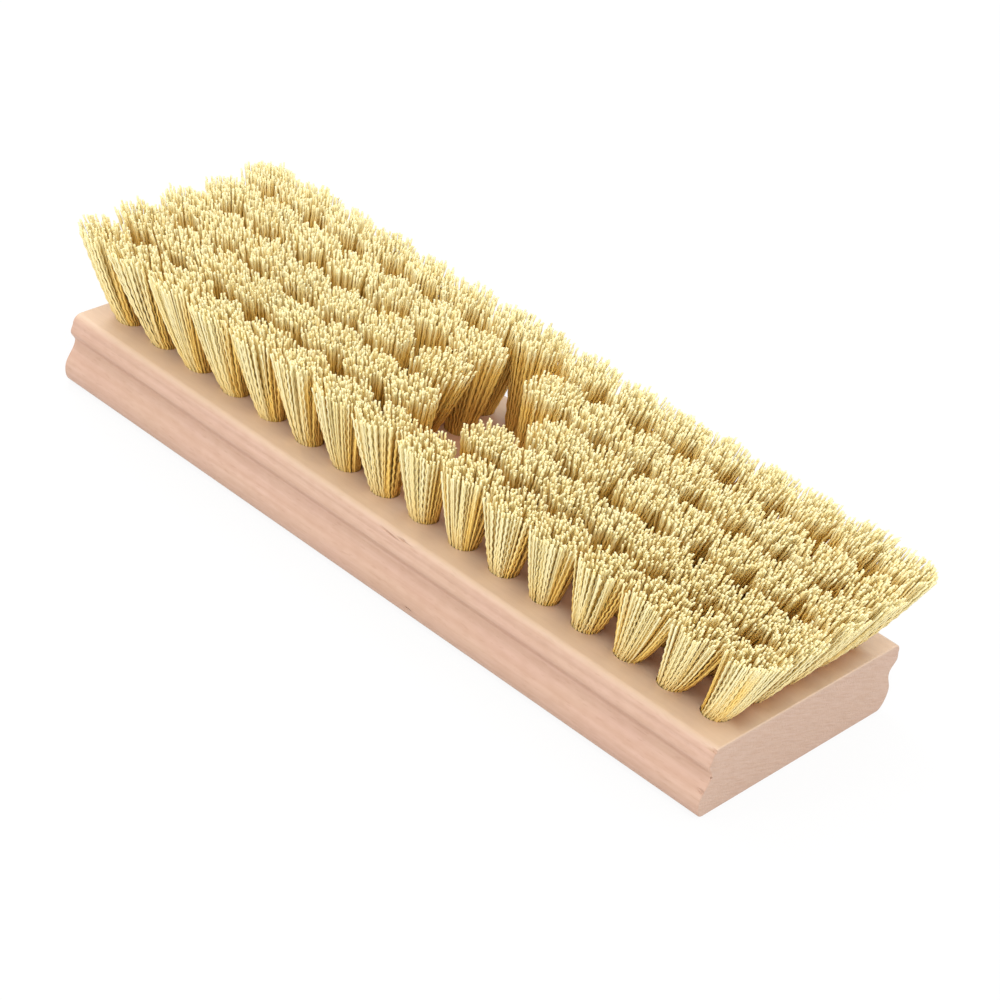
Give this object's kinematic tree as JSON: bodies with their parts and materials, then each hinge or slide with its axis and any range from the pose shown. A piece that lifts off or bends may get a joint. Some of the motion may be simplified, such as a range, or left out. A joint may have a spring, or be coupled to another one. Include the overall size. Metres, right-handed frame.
{
  "type": "deck brush",
  "caption": "Deck scrubbing brush head: moulded hardwood block with rows of stapled fibre tufts in its face and a tilted handle socket in its back.",
  "frame": {"origin": "under the middle of the block, on its flat back, with the bristles pointing up", "axes": "+X along the block, +Z out of the bristle face along the bristles, +Y across the block towards the side that the handle slopes to"},
  "size_m": [0.2728, 0.0888, 0.0535],
  "materials": {
    "hardwood": "bare sanded hardwood, pinkish tan, fine straight grain, matt",
    "fibre": "crimped pale yellow fibre, satin, darker golden where shaded",
    "staple_wire": "zinc-coated steel wire, drawn and cut, dull; inside the tuft holes"
  },
  "bodies": {
    "root": {"block": "hardwood", "tuft_row_1_group_1": "fibre", "tuft_row_1_group_2": "fibre", "tuft_row_1_group_3": "fibre", "tuft_row_1_group_4": "fibre", "tuft_row_2_group_1": "fibre", "tuft_row_2_group_2": "fibre", "tuft_row_2_group_3": "fibre", "tuft_row_2_group_4": "fibre", "tuft_row_3_group_1": "fibre", "tuft_row_3_group_2": "fibre", "tuft_row_3_group_3": "fibre", "tuft_row_3_group_4": "fibre", "tuft_row_4_group_1": "fibre", "tuft_row_4_group_2": "fibre", "tuft_row_4_group_3": "fibre", "tuft_row_4_group_4": "fibre", "tuft_row_5_group_1": "fibre", "tuft_row_5_group_2": "fibre", "tuft_row_5_group_3": "fibre", "tuft_row_5_group_4": "fibre"}
  },
  "joints": []
}
